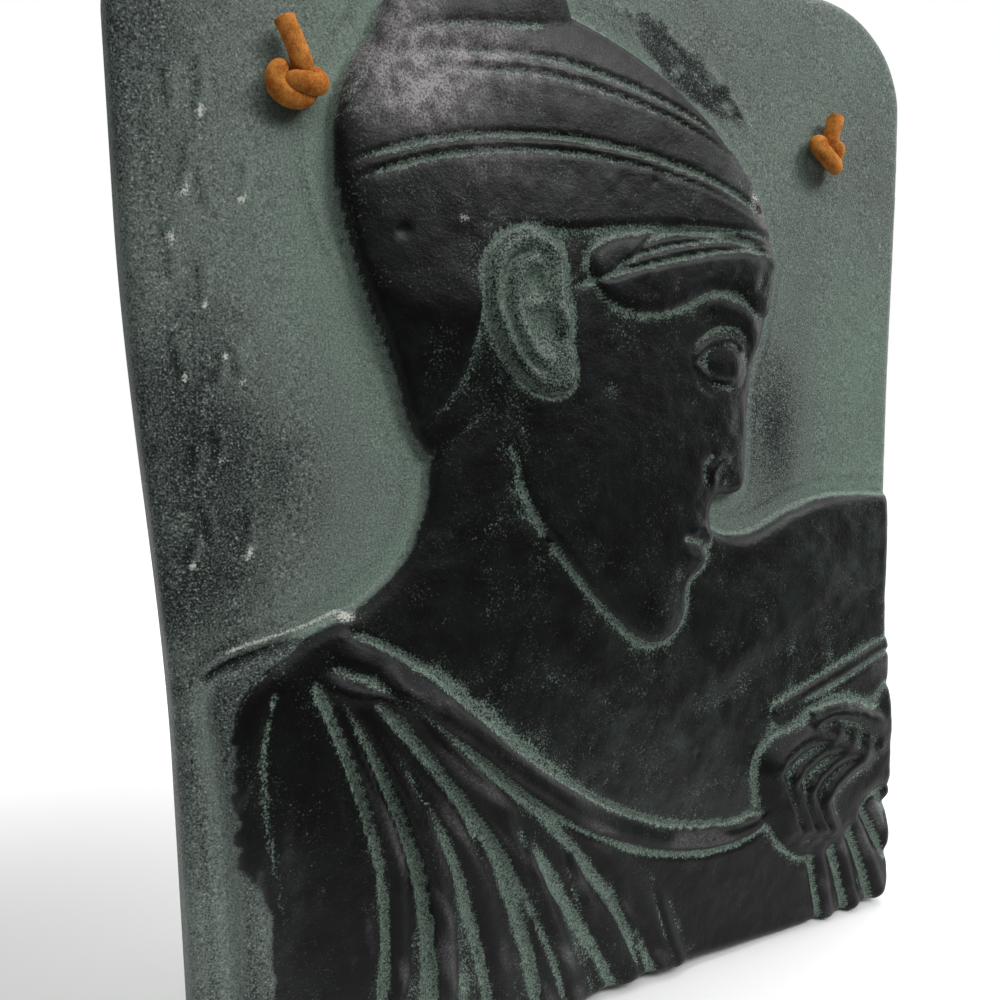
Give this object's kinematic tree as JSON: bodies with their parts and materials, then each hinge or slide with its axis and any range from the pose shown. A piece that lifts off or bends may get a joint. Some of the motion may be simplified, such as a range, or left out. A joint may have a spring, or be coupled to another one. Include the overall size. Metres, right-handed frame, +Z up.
{
  "type": "relief plaque",
  "caption": "Rectangular glazed ceramic wall plaque with rounded upper corners, a draped figure in low relief and a knotted leather thong to hang it by.",
  "frame": {"origin": "the underside of the thong where it rests on its wall nail, behind the plaque", "axes": "+Z up the plaque, +Y towards the wall out of the flat back, the relief faces -Y, +X to the right as seen from the front"},
  "size_m": [0.2012, 0.0267, 0.2462],
  "materials": {
    "glazed_ceramic": "satin dark grey-green glaze, nearly black on the raised parts",
    "leather_thong": "soft orange-tan suede"
  },
  "bodies": {
    "root": {"plaque": "glazed_ceramic", "hanging_thong": "leather_thong", "left_knot": "leather_thong", "right_knot": "leather_thong"}
  },
  "joints": []
}
